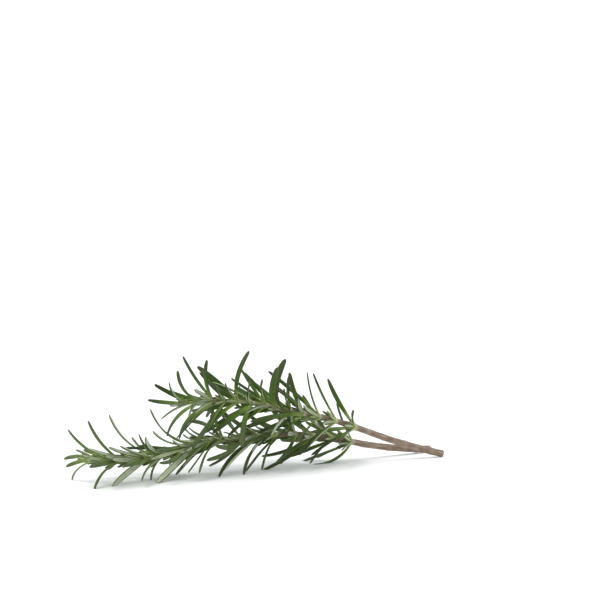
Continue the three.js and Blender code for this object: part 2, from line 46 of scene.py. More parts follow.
# A leaf is [azimuth, splay, curl, sway, roll, length, width], in degrees and millimetres.
SPRIGS = {
    "a": {
        "path": [
            (-89.53, 1.17, 12.25), (-84.6, 0.76, 11.85), (-79.67, 0.65, 11.23), (-74.74, 0.89, 10.7), (-69.81, 1.37, 10.34),
            (-64.88, 1.91, 10.2), (-59.94, 2.39, 10.29), (-54.99, 2.74, 10.58), (-50.05, 2.91, 11.03), (-45.12, 2.88, 11.68),
            (-40.26, 2.66, 12.67), (-35.54, 2.4, 14.17), (-30.79, 2.2, 15.61), (-25.87, 2.06, 16.28), (-20.91, 1.99, 16.21),
            (-15.96, 1.96, 15.84), (-10.99, 1.95, 15.65), (-6.03, 1.95, 15.69), (-1.06, 1.96, 15.85), (3.9, 1.94, 16.01),
            (8.87, 1.87, 16.1), (13.83, 1.73, 16.02), (18.78, 1.55, 15.68), (23.71, 1.4, 15.05), (28.6, 1.28, 14.23),
            (33.49, 1.18, 13.36), (38.38, 1.1, 12.45), (43.25, 1.06, 11.47), (48.1, 1.07, 10.4), (52.93, 1.14, 9.28),
            (57.77, 1.26, 8.15), (62.62, 1.4, 7.07), (67.48, 1.58, 6.09), (72.36, 1.78, 5.19), (77.26, 2, 4.38),
            (82.17, 2.23, 3.66), (87.09, 2.48, 3.02), (92.02, 2.74, 2.47), (96.96, 2.99, 1.99), (101.9, 3.25, 1.6),
        ],
        "whorls": [
            (1.61, [
                [45.3, 34.8, 34.2, -4.1, 9.5, 8.34, 1.42],
                [90.8, 31.9, 8.1, -5.1, 169.6, 16.46, 2],
            ]),
            (5.84, [
                [65.5, 25.7, 8.9, -0.1, 0.2, 10.5, 1.49],
                [250, 60.7, 45.3, 10.1, 54, 24.75, 1.7],
                [281, 52.3, 11.7, 16.7, -23, 18.94, 2],
                [283.4, 68.1, 15.3, 6.5, -45.9, 16.78, 1.7],
            ]),
            (10.68, [
                [75, 22.9, 3.3, -0, -10, 13.01, 1.67],
                [251.3, 49.8, 8.1, -10.6, 21.8, 15.07, 1.83],
                [266.3, 42.3, 25.9, -1.3, 15.8, 15.1, 1.95],
                [297.4, 36.9, 33.8, -7.9, -22, 23.58, 1.8],
                [313.6, 36.1, 7.5, 13.1, 24.3, 11.59, 1.78],
            ]),
            (16.73, [
                [0.9, 28.7, 33.5, -0.8, 6.3, 25.03, 2.4],
                [91.4, 27.6, -3.5, -1.6, 160, 23.12, 2.5],
                [97.5, 41, 13.2, 1.9, -64.9, 21.75, 2.4],
                [153.7, 13.6, 52.7, -1.5, -5.8, 19.77, 2.4],
                [259.8, 49.1, 14.6, -1.1, 6.9, 16.75, 1.99],
            ]),
            (24.1, [
                [56.2, 15.7, 3.4, 7, -2.5, 27.51, 1.75],
                [61.8, 20.2, 4.1, 0, -18.4, 20, 2.28],
                [78.9, 23.3, 11.5, 2.6, 4.3, 18.62, 2.28],
                [276.8, 41.3, 10.3, 4.9, 10.6, 22.92, 2.3],
            ]),
            (31.96, [
                [46.1, 17.5, 15.1, 3.1, -15.5, 26.23, 1.75],
                [49.8, 30, 13.2, -1.4, 23.5, 25.36, 2.65],
                [92.5, 33.4, -0, 4.1, -100.9, 25.53, 2.5],
                [149.3, 15.2, 18.5, -1, 68.4, 23.87, 2.85],
                [255.2, 40.2, -2.8, -8.8, 17.4, 25.85, 2.32],
                [271.9, 41.1, 2.8, -1.9, 3, 23.47, 2.23],
                [297.6, 89.2, 20.2, 11.8, -30.1, 21.51, 2.65],
            ]),
            (39.72, [
                [52.7, 35.3, 35.9, 0.7, -54.8, 26.66, 2],
                [68.4, 30, 31.5, 19.4, 186.3, 26.56, 2.65],
                [109, 22.6, 38.2, 1.4, -17.9, 27.23, 2.65],
                [196.7, 25.2, 47.1, 18.8, 28.2, 13.1, 2.65],
                [251.2, 49.4, 10.5, -7.6, 5.1, 25.37, 2.76],
                [269.1, 53.3, 23, -32.8, -62.7, 36.4, 2.65],
            ]),
            (48.49, [
                [33.1, 23.9, 6.2, -0.5, 49.8, 24.21, 2.65],
                [75.2, 21.9, 6.4, -0, 26.1, 20.11, 2.33],
                [96.9, 57.6, -22.9, 11, -114.8, 28.34, 2.5],
                [259.9, 40.6, 13.1, 2.2, -11, 24.07, 2.56],
                [283.7, 30, 14.6, 5.7, -0.9, 22.32, 2.7],
                [328.1, 18.9, -5.4, -7, -1.3, 26.53, 2.57],
            ]),
            (57.06, [
                [61.5, 25.1, 1.8, 3.2, 210.6, 26.85, 2.65],
                [70.4, 33.5, 30.4, 9.3, -2.4, 26.97, 1.5],
                [119.3, 21.8, 2.1, -2, 71.8, 30.28, 3],
                [195.6, 33.9, -10.3, -4.8, 49.6, 21.03, 2.49],
                [224.9, 37, 13.5, 3.7, -12.9, 20.05, 2.45],
                [268.7, 45.3, 47.2, -15.3, -56.3, 28.07, 2.65],
                [280.7, 47.2, 50.3, -26.9, -29.6, 31.25, 2.65],
            ]),
            (64.13, [
                [91.7, 26.3, 9.7, -0.8, -15.1, 20.88, 2.34],
                [107.8, 28.9, 13.4, -4.2, -21.8, 26.37, 2.65],
                [114, 46.1, -7.2, -5.4, -23.5, 26.83, 2.65],
                [206.1, 35.8, 19.1, 1.5, 16.2, 22.43, 2.64],
                [258.9, 70.7, 30.7, -10.8, -56.8, 24.76, 2.65],
                [266.8, 71.9, 27.4, -13.7, -47.1, 24.93, 2.65],
                [279.7, 78.9, 30.9, 4.8, -46.2, 24.47, 2.65],
            ]),
            (70.78, [
                [47, 31.2, 42.6, 6, 11.9, 20.1, 2.61],
                [101, 26.9, 31.9, -20.5, -28.7, 28.8, 2.65],
                [162.5, 23.5, -6.7, -5.4, -18.6, 25.42, 2.36],
                [236.6, 45.1, 23.9, -3.5, -25.6, 25.45, 2.37],
                [302.7, 79.7, -6.5, 20.8, -24.5, 26.12, 2.65],
                [359.1, 61.4, 11.2, 3.7, 17.6, 23.67, 2.53],
            ]),
            (80.36, [
                [26.4, 42.4, 8.8, -1.3, -18.5, 24.03, 2.64],
                [105.7, 60.9, -51.2, 10.7, 179, 29.05, 2.65],
                [113.5, 52.3, -47.2, -1.9, 181.4, 28.82, 2.65],
                [126.6, 45.4, -26.2, -1, -50.2, 27.32, 2.65],
                [268, 41.4, 15.5, 5, -4.1, 25.19, 2.4],
                [334.9, 58.6, 17.4, 0.6, 5.3, 22.19, 2.31],
            ]),
            (89.63, [
                [16.6, 32.8, 3.1, 0.2, -10.8, 20.71, 2.47],
                [76, 35.7, 18.6, -4, -27.1, 21.78, 2.44],
                [138.7, 23.7, 16.3, 0.2, 44.9, 27.91, 1.65],
                [143.8, 12.1, 40.6, -3.7, -30, 31.03, 2.65],
                [256.4, 45.8, 10.3, -2.7, -19.9, 25.85, 2.56],
                [310.3, 43.5, 18.7, -6.2, -14, 21.6, 2.59],
            ]),
            (99.81, [
                [76.1, 27.9, -2.3, -9.7, 125.3, 29.05, 2.65],
                [105.8, 18.5, 34.2, 0.6, 12.3, 26.52, 1.65],
                [115.8, 5.5, 59.8, -19.4, -37.5, 30.93, 2.65],
                [125, 37.9, 25.9, -15.3, -11.5, 22.02, 2.65],
                [135.4, 31.5, 10.7, -12, -22.4, 25.85, 2.65],
                [205.7, 19.4, -12.9, -10.2, 10.7, 22.69, 2.49],
                [264, 67.1, 32.1, -0.5, -61.2, 24.33, 2.65],
                [270.7, 80.4, 27.3, -4, -62.1, 23.98, 2.65],
                [272.4, 64.9, 43.2, 2.7, -52, 24.48, 2.65],
                [333, 33.7, 20.1, 1.2, 4.1, 26.37, 2.47],
            ]),
            (110.08, [
                [24.8, 36.8, 17.8, 5.8, -17, 23.86, 2.55],
                [54.3, 50.9, 15.5, 5.6, -46.8, 23.71, 2.34],
                [82.9, 42.9, 16.1, 0.3, -16.4, 21.26, 2.79],
                [120.3, 58.1, -21.7, -4.2, -40.3, 27.62, 2.65],
                [245.4, 38.3, 20.4, -5.2, -3.8, 23.23, 2.38],
                [276, 52.3, 19, -5.3, -28.4, 24.95, 2.65],
                [323.4, 45.1, 30.8, 0.7, 17.3, 25.61, 2.58],
            ]),
            (120.26, [
                [94.9, 42.6, 12.9, 6.1, 9.3, 24.99, 2.3],
                [164.5, 33.7, -22.7, -2.6, -32.6, 30, 2.65],
                [167.1, 42.5, -15.5, -4.2, -26.1, 31.5, 2.65],
                [215.3, 41.9, 36.7, 4.6, -17.8, 20.65, 2.36],
                [307.2, 43.4, 14.3, -2.4, 18.6, 22.22, 2.66],
            ]),
            (131.25, [
                [56.9, 30.4, 2.7, 1, -7.2, 25.5, 2.31],
                [131.8, 35.4, 17.5, 0.2, -10.5, 25.59, 2.76],
                [191.9, 28.4, 1.1, -1.1, -14.7, 23.09, 2.43],
                [252.3, 36.5, 13.8, -0.3, -12.1, 24.76, 2.67],
                [338.2, 40.8, 22.6, 2.7, 16.2, 24.76, 2.5],
            ]),
            (143.34, [
                [15.5, 38.5, 13.8, -3.4, -6.2, 24.59, 2.46],
                [101.4, 41.7, 9.6, -1, -24.8, 25.33, 2.43],
                [158.7, 20.2, 11.3, 2.3, -3.4, 24, 2.62],
                [180, 62.7, -57.6, 0, 0, 24, 2.6],
                [218.8, 42, 1.1, -0.1, 23.9, 25.17, 2.46],
                [283, 44.2, 21.2, -0.3, -15.5, 25.73, 2.29],
            ]),
        ],
    },
    "b": {
        "path": [
            (-42.13, -3.26, 35.23), (-37.15, -3.87, 35.2), (-32.15, -4.35, 35.28), (-27.15, -4.66, 35.3), (-22.14, -4.77, 35.13),
            (-17.14, -4.82, 34.72), (-12.17, -4.93, 34), (-7.24, -5.17, 33.14), (-2.31, -5.51, 32.24), (2.52, -5.99, 31),
            (7.32, -6.55, 29.63), (12.15, -7.1, 28.41), (17.01, -7.61, 27.25), (21.87, -8.05, 26.1), (26.73, -8.42, 24.9),
            (31.57, -8.74, 23.61), (36.37, -9.04, 22.2), (41.14, -9.33, 20.67), (45.87, -9.59, 19.02), (50.57, -9.82, 17.27),
            (55.25, -10.03, 15.48), (59.93, -10.25, 13.68), (64.63, -10.48, 11.93), (69.35, -10.73, 10.26), (74.1, -11, 8.66),
            (78.87, -11.3, 7.13), (83.65, -11.62, 5.66), (88.45, -11.97, 4.25), (93.27, -12.34, 2.9), (98.1, -12.74, 1.6),
        ],
        "whorls": [
            (1.87, [
                [38.9, 30, 1.2, 3.9, 124.2, 21.22, 2.03],
                [66.9, 29.2, 41, 14, -9.1, 22.24, 1.45],
                [88.6, 33.9, 18.6, 1.3, -9.9, 18.15, 1.55],
                [262.8, 39.5, 10.7, -5.9, -28.6, 20.66, 2.1],
            ]),
            (7.79, [
                [44.5, 25.4, 53.3, 8.1, 40.6, 25.36, 2.3],
                [79.2, 24.4, 2.7, -14.7, -50.2, 27.77, 1.5],
                [240.9, 40.6, 43.3, 17.9, 17.9, 25.69, 2.3],
                [307.6, 24.8, 12.4, -0.1, 16.3, 16.33, 2.16],
            ]),
            (14.28, [
                [7.5, 43, 19, 1.6, 14.8, 26.75, 2.45],
                [31.4, 50.5, 37, -1.8, 21.8, 26.26, 2.45],
                [63.2, 44.3, 3.8, -1.2, -24.6, 24.09, 2],
                [64.5, 25.2, 18.1, -25.5, -23.9, 27.83, 1.6],
                [96.2, 36.5, 18.2, -1.3, -6.1, 24.33, 1.6],
                [162.1, 31.7, 12, -3.1, 10.3, 25.14, 2.48],
                [206.1, 43.5, 17.8, 0.2, 33, 22.08, 2.57],
                [266.9, 125.2, -36.4, 19.3, -5.3, 29.64, 2.45],
                [270.4, 69, 34.9, -1.3, -49.3, 23.01, 2.45],
            ]),
            (20.54, [
                [15.4, 36.2, 7.6, 2.4, 16.2, 20.15, 2.55],
                [76.4, 46.8, 15.8, 8.1, 11.3, 25.67, 2.65],
                [130.2, 42.2, 11, -3.3, -1.8, 25.92, 2.76],
                [197.8, 54.3, 12.4, 7.2, 8.9, 25.55, 2.53],
                [246.2, 35.2, 65.5, 17.3, 4.3, 33.94, 2.65],
                [321.1, 57.1, 25, 0.8, -7.5, 18.74, 2.55],
            ]),
            (26.87, [
                [38.3, 54.7, 50.1, 5.7, 21, 29.65, 2.65],
                [58.6, 38.4, 22.3, -5.2, 8.9, 25.95, 2.65],
                [58.9, 26.3, 10.6, 1.8, 182.1, 25.48, 2.65],
                [137.2, 27.8, 28.2, -19.7, -72.3, 34.02, 2.65],
                [237.3, 45.9, 15.7, -8.5, 6.5, 23.7, 2.39],
                [296, 47.4, 32.7, -6.1, -22.6, 26.57, 2.26],
                [344.3, 37.1, -3.8, 2.9, 65.1, 24.78, 2.74],
            ]),
            (34.9, [
                [3.6, 22.4, -14.5, -6.1, -14.6, 24.78, 2.3],
                [91.2, 52.5, 2.5, 10.4, 5.5, 25.82, 1.5],
                [95.8, 48.7, 14.4, 27.9, 3.9, 28.7, 2.65],
                [113.9, 48.1, 37.3, -21.8, -62.9, 29.45, 2.65],
                [140.2, 34.6, 5.2, -7.5, -75, 27.68, 2.65],
                [217.2, 45.9, 14.8, 0.4, 10.1, 26.35, 2.62],
                [268.8, 96, 8.5, -15, -28.3, 25.46, 2.65],
            ]),
            (41.8, [
                [52.7, 46.7, 24.4, -7.4, -4, 27.03, 2.65],
                [94.3, 46.1, 2.8, -6.4, -35.6, 25.7, 2.65],
                [171.6, 38, 13.5, 6.4, -12.5, 24.88, 2.63],
                [236.8, 50, 14.5, 2.9, 8.6, 26.09, 2.66],
                [291.7, 44, 21.5, 3.1, 8.4, 18.82, 2.69],
                [337, 39.9, 13.3, -0.9, -10, 20.38, 2.58],
            ]),
            (48.21, [
                [31.4, 49.8, 47.7, 3.5, 76.1, 27.2, 3.3],
                [73, 40.2, 40.8, 25.1, 75, 29.96, 3.19],
                [198.3, 18.4, 11.2, -1.5, 3.8, 18.37, 2.28],
                [250.2, 52, 29.1, -0.3, 5.4, 26.3, 2.56],
                [290.3, 43.1, 4.4, -2.7, -47.1, 27.17, 2.65],
                [306.7, 49.8, 11.6, 0.9, -7.3, 25.02, 2.65],
            ]),
            (55.19, [
                [2.1, 60.2, 15.3, -11.2, 3.8, 17, 2.54],
                [59.9, 46.8, 14.3, 2.4, 14.9, 21.5, 2.73],
                [94.4, 39.8, 8.4, 20.3, 74.8, 27.36, 2.65],
                [136.1, 45.1, 16.1, 9.9, 37.1, 26.17, 2.3],
                [166.8, 52, 3.5, -3.6, -2.4, 22.91, 2.76],
                [222.7, 42.8, 14.6, -3.7, -13.6, 25.53, 2.4],
                [293.3, 45.5, 15.7, -3.7, 13.4, 24.39, 2.65],
            ]),
            (62.25, [
                [39.8, 36, -16.7, 0.2, 163.6, 27.84, 2.65],
                [73.8, 43.7, 19.3, 4.8, -18.7, 21.2, 2.59],
                [96.6, 34.5, -34.3, -12, 166.4, 34, 2.65],
                [149.3, 37.8, 16.8, -6.1, -3.4, 25.03, 2.76],
                [214.1, 37.1, 1.7, 3.8, 0.3, 21.89, 2.33],
                [263.7, 39.8, 19.6, 0.3, 6.5, 25.62, 2.34],
                [341.4, 51.3, 16.3, -7.7, 20.9, 20, 2.72],
            ]),
            (70.6, [
                [31.1, 42.9, 17.6, 3.3, -13.4, 26.64, 2.47],
                [80.2, 34.5, 16.3, 1.3, 13.1, 24.94, 2.51],
                [127.7, 44.7, 10.9, -3, -20.3, 25.88, 2.38],
                [236.4, 43.7, 12.7, -0.8, -7.5, 25.92, 2.6],
                [322.6, 41.4, -3.1, 3.1, -7, 31.88, 2.65],
            ]),
            (80.26, [
                [3.4, 37, 14.4, 1.8, -2.4, 26.04, 2.31],
                [99.9, 38, 19.7, 1.7, -22.2, 25.45, 2.44],
                [151.1, 39.7, 15.9, -1.3, 21.5, 23.28, 2.48],
                [189.7, 49, 15.4, 1.2, -29.8, 23.65, 2.58],
                [262.2, 44.9, 16.2, -0.2, -14.5, 25.51, 2.41],
            ]),
            (91.54, [
                [70.1, 42.7, 20.7, -3, 15.4, 25.57, 2.54],
                [126.5, 41.5, 15.3, 0.1, 0.3, 20.38, 2.41],
                [173.5, 36.6, 17.5, -4, -4, 26.32, 2.71],
                [240.5, 43.5, 16.7, 1.7, 17.2, 25.84, 2.8],
                [327, 41.5, 21.8, -1.6, 16.3, 26.26, 2.39],
            ]),
        ],
    },
}


# ---- centre lines ------------------------------------------------------------------
class Line:
    def __init__(self, pts):
        self.p = np.array(pts, float)
        self.s = np.r_[0, np.cumsum(np.linalg.norm(np.diff(self.p, axis=0), axis=1))]
        self.length = float(self.s[-1])

    def at(self, a):
        a = min(max(a, 0.0), self.length)
        return np.array([np.interp(a, self.s, self.p[:, i]) for i in range(3)])

    def frame(self, a):
        T = self.at(a - 2) - self.at(a + 2)
        T /= np.linalg.norm(T)
        N = np.array([0, 0, 1.0]) - T * T[2]
        N /= np.linalg.norm(N)
        return T, N, np.cross(N, T)

    def r(self, a):
        return STEM_TIP_R + (STEM_CUT_R - STEM_TIP_R) * min(max(a / self.length, 0), 1) ** STEM_TAPER


def smoothstep(a, b, x):
    t = np.clip((np.asarray(x, float) - a) / (b - a), 0, 1)
    return t * t * (3 - 2 * t)


# ---- leaves ------------------------------------------------------------------------
# Section of a needle leaf, round from the right margin over the top: the top has a
# groove along the middle, the margins roll under, and the felted back shows between
# them with its raised midrib. x is in half widths, y in half thicknesses, and the last
# number is 1 on the green skin and 0 on the felt.
SECTION = [
    (1.00, -0.20, 1.0), (0.95, 0.38, 1.0), (0.74, 0.80, 1.0), (0.42, 0.92, 1.0), (0.15, 0.66, 1.0),
    (0.00, 0.30, 1.0),
    (-0.15, 0.66, 1.0), (-0.42, 0.92, 1.0), (-0.74, 0.80, 1.0), (-0.95, 0.38, 1.0), (-1.00, -0.20, 1.0),
    (-0.93, -0.72, 1.0), (-0.78, -0.92, 0.9), (-0.66, -0.66, 0.25), (-0.40, -0.30, 0.0), (-0.13, -0.34, 0.0),
    (0.00, -0.66, 0.12),
    (0.13, -0.34, 0.0), (0.40, -0.30, 0.0), (0.66, -0.66, 0.25), (0.78, -0.92, 0.9), (0.93, -0.72, 1.0),
]
SECTION = np.array(SECTION)
# the same, coarser, for the small leaves in the joints
SMALL = SECTION[[0, 2, 3, 5, 7, 8, 10, 12, 14, 16, 18, 20]]
W_T = [0, 0.05, 0.14, 0.30, 0.45, 0.60, 0.74, 0.84, 0.91, 0.955, 0.985, 1.0]
W_V = [0.46, 0.46, 0.62, 0.88, 1.0, 1.0, 0.95, 0.87, 0.76, 0.61, 0.40, 0.0]


def leaf_line(line, at, azimuth, splay, curl, sway, length, steps=48):
    T, N, B = line.frame(at)
    r = line.r(at)
    a = math.radians(azimuth)
    R = math.cos(a) * N + math.sin(a) * B
    S = np.cross(T, R)
    t = (np.arange(steps) + 0.5) / steps
    th = np.radians(splay + curl * t)
    ps = np.radians(2 * sway * t)
    d = np.cos(ps)[:, None] * (np.cos(th)[:, None] * T + np.sin(th)[:, None] * R) + np.sin(ps)[:, None] * S
    p = np.vstack([[0, 0, 0], np.cumsum(d * length / steps, axis=0)]) + line.at(at) + 0.8 * r * R
    dd = np.vstack([d[:1], (d[1:] + d[:-1]) / 2, d[-1:]])
    dd /= np.linalg.norm(dd, axis=1)[:, None]
    return p, dd, S


def leaf_mesh(line, at, row, rng, age, section=SECTION, stations=26, thick=0.44, pale=0.4):
    azimuth, splay, curl, sway, roll, length, width = row
    steps = 48
    p, d, S = leaf_line(line, at, azimuth, splay, curl, sway, length, steps)
    # stations bunch up at the blunt tip
    u = np.linspace(0, 1, stations)
    t = np.concatenate([u[:-6] * 0.93 / u[-7], [0.955, 0.975, 0.988, 0.996, 0.9995]])
    t = np.clip(np.r_[t, 1.0], 0, 1)
    t = np.unique(np.round(t, 5))
    i = t * steps
    k = np.minimum(i.astype(int), steps - 1)
    f = (i - k)[:, None]
    c = p[k] * (1 - f) + p[k + 1] * f
    dk = d[k] * (1 - f) + d[k + 1] * f
    dk /= np.linalg.norm(dk, axis=1)[:, None]
    w = S - dk * (dk @ S)[:, None]
    w /= np.linalg.norm(w, axis=1)[:, None]
    n = np.cross(dk, w)
    ro = np.radians(roll + rng.uniform(-7, 7) * (t - 0.5))
    across = np.cos(ro)[:, None] * w + np.sin(ro)[:, None] * n
    up = np.cross(dk, across)
    hw = np.interp(t, W_T, W_V) * width / 2 * (1 + 0.03 * np.sin(9 * t + rng.uniform(0, 6)))
    tt = thick * (0.6 + 0.4 * min(width / 2.4, 1.1)) * np.interp(t, [0, 0.1, 0.9, 0.97, 1], [0.95, 1.0, 0.9, 0.72, 0.3])
    m = len(section)
    # the section is scaled to each station's half width and thickness
    x = section[:, 0][None, :] * hw[:, None]
    y = section[:, 1][None, :] * tt[:, None]
    base = np.interp(t, [0, 0.12], [1, 0])[:, None]          # the base is a short solid stalk
    y = y * (1 - base) + base * np.sign(section[:, 1])[None, :] * np.minimum(np.abs(section[:, 1]) * 0.4 + 0.45, 0.9) * tt[:, None]
    V = c[:, None, :] + x[..., None] * across[:, None, :] + y[..., None] * up[:, None, :]
    V = V[:-1]                                                # the last station is the tip point
    rows = len(V)
    verts = np.vstack([V.reshape(-1, 3), c[-1:] , c[:1]])
    tip, root = rows * m, rows * m + 1
    faces = []
    under = []
    for a_ in range(rows - 1):
        for b_ in range(m):
            b2 = (b_ + 1) % m
            faces.append((a_ * m + b_, a_ * m + b2, (a_ + 1) * m + b2, (a_ + 1) * m + b_))
            under.append(section[b_, 2] < 0.5 or section[b2, 2] < 0.5)
    for b_ in range(m):
        b2 = (b_ + 1) % m
        faces.append(((rows - 1) * m + b_, (rows - 1) * m + b2, tip))
        under.append(False)
        faces.append((b2, b_, root))
        under.append(False)
    tt_ = np.r_[np.repeat(t[:rows], m), 1.0, 0.0]
    uu_ = np.r_[np.tile(section[:, 0], rows), 0, 0]
    ss_ = np.r_[np.tile(section[:, 2], rows), 1, 1]
    # pale shifts the random tone towards the greyer colours; on the front sprig this paints a grey sheen into the
    # colour
    rnd = pale + 0.6 * rng.random()
    A = np.stack([tt_, uu_, ss_], 1)
    Bv = np.stack([np.full(len(verts), age), np.full(len(verts), rnd), np.full(len(verts), length)], 1)
    # outward faces
    return verts, faces, under, A, Bv


def volume_sign(verts, faces):
    v = 0.0
    for f in faces:
        a = verts[f[0]]
        for i in range(1, len(f) - 1):
            v += np.dot(a, np.cross(verts[f[i]], verts[f[i + 1]]))
    return v


def make_object(name, parts, materials):
    V, F, MI, A, B = [], [], [], [], []
    n = 0
    for verts, faces, under, a, b in parts:
        if volume_sign(verts, faces) < 0:
            faces = [tuple(reversed(f)) for f in faces]
        V.append(verts)
        F += [tuple(i + n for i in f) for f in faces]
        MI += [1 if x is True else int(x) for x in under]
        A.append(a)
        B.append(b)
        n += len(verts)
    V = np.vstack(V) * MM
    V[:, 2] = np.maximum(V[:, 2], 0.00002)
    A = np.vstack(A)
    B = np.vstack(B)
    me = bpy.data.meshes.new(name)
    me.from_pydata([tuple(v) for v in V], [], F)
    for key, val in (("leaf_a", A), ("leaf_b", B)):
        at = me.attributes.new(key, "FLOAT_VECTOR", "POINT")
        at.data.foreach_set("vector", val.astype(np.float32).ravel())
    for m in materials:
        me.materials.append(m)
    me.polygons.foreach_set("material_index", np.array(MI, np.int32))
    me.polygons.foreach_set("use_smooth", np.ones(len(me.polygons), bool))
    me.update()
    me.validate()
    ob = bpy.data.objects.new(name, me)
    bpy.context.scene.collection.objects.link(ob)
    return ob


# ---- materials ---------------------------------------------------------------------
class Nodes:
    """A few short helpers for writing node trees."""

    def __init__(self, name):
        self.mat = bpy.data.materials.new(name)
        self.mat.use_nodes = True
        self.nt = self.mat.node_tree
        self.nt.nodes.clear()
        self.out = self.nt.nodes.new("ShaderNodeOutputMaterial")
        self.bsdf = self.nt.nodes.new("ShaderNodeBsdfPrincipled")
        self.nt.links.new(self.bsdf.outputs["BSDF"], self.out.inputs["Surface"])

    def node(self, kind, **props):
        n = self.nt.nodes.new(kind)
        for k, v in props.items():
            setattr(n, k, v)
        return n

    def link(self, a, b):
        self.nt.links.new(a, b)

    def put(self, socket, v):
        if isinstance(v, bpy.types.NodeSocket):
            self.link(v, socket)
        else:
            socket.default_value = v

    def attr(self, name):
        n = self.node("ShaderNodeAttribute", attribute_name=name)
        s = self.node("ShaderNodeSeparateXYZ")
        self.link(n.outputs["Vector"], s.inputs[0])
        return n.outputs["Vector"], s.outputs[0], s.outputs[1], s.outputs[2]

    def math(self, op, a, b=0.0, c=0.0, clamp=False):
        n = self.node("ShaderNodeMath", operation=op, use_clamp=clamp)
        self.put(n.inputs[0], a)
        self.put(n.inputs[1], b)
        if len(n.inputs) > 2:
            self.put(n.inputs[2], c)
        return n.outputs[0]

    def remap(self, v, a, b, lo=0.0, hi=1.0, smooth=True):
        n = self.node("ShaderNodeMapRange", interpolation_type="SMOOTHSTEP" if smooth else "LINEAR")
        self.put(n.inputs["Value"], v)
        n.inputs["From Min"].default_value = a
        n.inputs["From Max"].default_value = b
        n.inputs["To Min"].default_value = lo
        n.inputs["To Max"].default_value = hi
        return n.outputs["Result"]

    def mix(self, f, a, b, blend="MIX"):
        n = self.node("ShaderNodeMix", data_type="RGBA", blend_type=blend)
        self.put(n.inputs["Factor"], f)
        for s, v in ((n.inputs[6], a), (n.inputs[7], b)):
            self.put(s, v if isinstance(v, bpy.types.NodeSocket) else (*v, 1.0))
        return n.outputs[2]

    def noise(self, vector, scale, detail=3.0, rough=0.55, distortion=0.0):
        n = self.node("ShaderNodeTexNoise")
        self.put(n.inputs["Vector"], vector)
        n.inputs["Scale"].default_value = scale
        n.inputs["Detail"].default_value = detail
        n.inputs["Roughness"].default_value = rough
        n.inputs["Distortion"].default_value = distortion
        return n.outputs["Fac"]

    def bump(self, height, distance, strength=1.0, normal=None):
        n = self.node("ShaderNodeBump")
        n.inputs["Strength"].default_value = strength
        n.inputs["Distance"].default_value = distance
        self.put(n.inputs["Height"], height)
        if normal is not None:
            self.put(n.inputs["Normal"], normal)
        return n.outputs["Normal"]

    def coords(self):
        return self.node("ShaderNodeTexCoord").outputs["Object"]

    def scaled(self, vector, x, y, z):
        n = self.node("ShaderNodeMapping")
        self.put(n.inputs["Vector"], vector)
        n.inputs["Scale"].default_value = (x, y, z)
        return n.outputs["Vector"]


def leaf_top():
    """Dark, leathery green with a dull shine, paler along the groove; the base is paler too, partly its own stalk
    colour and partly painted light.
    """
    g = Nodes("rosemary_leaf_top")
    _, t, u, s = g.attr("leaf_a")
    _, age, rnd, length = g.attr("leaf_b")
    obj = g.coords()
    big = g.noise(obj, 140.0, 2.0)
    fine = g.noise(obj, 2600.0, 3.0, 0.6)
    dark = g.mix(g.remap(rnd, 0.0, 1.0, smooth=False), LEAF_DARK_A, LEAF_DARK_B)
    dark = g.mix(g.remap(big, 0.35, 0.7), dark, LEAF_DARK_C)
    # the lower half of a leaf is a livelier green than its outer half
    dark = g.mix(g.math("MULTIPLY", g.remap(t, 0.15, 0.75, 1.0, 0.0), g.remap(rnd, 0.3, 1.0, 0.6, 0.3)), dark, LEAF_MID)
    young = g.mix(g.remap(rnd, 0.0, 1.0, smooth=False), LEAF_YOUNG_A, LEAF_YOUNG_B)
    # young leaves are yellow-green most of the way, and darken towards the tip too
    col = g.mix(g.math("MULTIPLY", age, g.remap(t, 0.25, 0.9, 1.0, 0.3)), dark, young)
    # mottling of the rough skin
    col = g.mix(g.math("MULTIPLY", g.remap(fine, 0.52, 0.72), 0.3), col, LEAF_SPECK)
    # the groove is paler
    au = g.math("ABSOLUTE", u)
    groove = g.math("MULTIPLY", g.remap(au, 0.0, 0.16, 1.0, 0.0), 0.45)
    col = g.mix(groove, col, LEAF_GROOVE)
    # rolled margin: a thin paler edge seen from below
    edge = g.math("MULTIPLY", g.remap(s, 1.0, 0.85, 0.0, 1.0), 0.5)
    col = g.mix(edge, col, LEAF_EDGE)
    # base fades to a pale yellow-green stalk: partly the stalk's own colour, partly painted light that brightens the
    # shaded base near the stem and stands in for light shining through it
    base = g.remap(t, 0.03, 0.36, 1.0, 0.0)
    col = g.mix(g.math("MULTIPLY", base, 0.82), col, STALK_GREEN_AND_PAINTED_LIGHT)
    # the outer half turns greyer towards the tip, least on young leaves
    outer = g.mix(g.remap(rnd, 0.2, 1.0, smooth=False), LEAF_OUTER_A, LEAF_OUTER_B)
    grey = g.math("MULTIPLY", g.remap(t, 0.5, 1.0, 0.0, 0.6), g.remap(age, 0.0, 1.0, 1.0, 0.55))
    col = g.mix(grey, col, outer)
    # the very tip is a little brown on some leaves
    tip = g.math("MULTIPLY", g.remap(t, 0.965, 1.0), g.remap(rnd, 0.55, 0.85))
    col = g.mix(g.math("MULTIPLY", tip, 0.6), col, LEAF_TIP)
    g.put(g.bsdf.inputs["Base Color"], col)
    g.put(g.bsdf.inputs["Roughness"], g.remap(fine, 0.3, 0.7, 0.34, 0.52, smooth=False))
    g.bsdf.inputs["Specular IOR Level"].default_value = 0.22
    # rough, slightly pebbled skin with faint wrinkles
    wr = g.noise(g.scaled(obj, 1.0, 1.0, 1.0), 1500.0, 2.0, 0.5)
    h = g.math("ADD", g.math("MULTIPLY", fine, 0.6), g.math("MULTIPLY", wr, 0.9))
    g.put(g.bsdf.inputs["Normal"], g.bump(h, 0.00012, 0.7))
    return g.mat


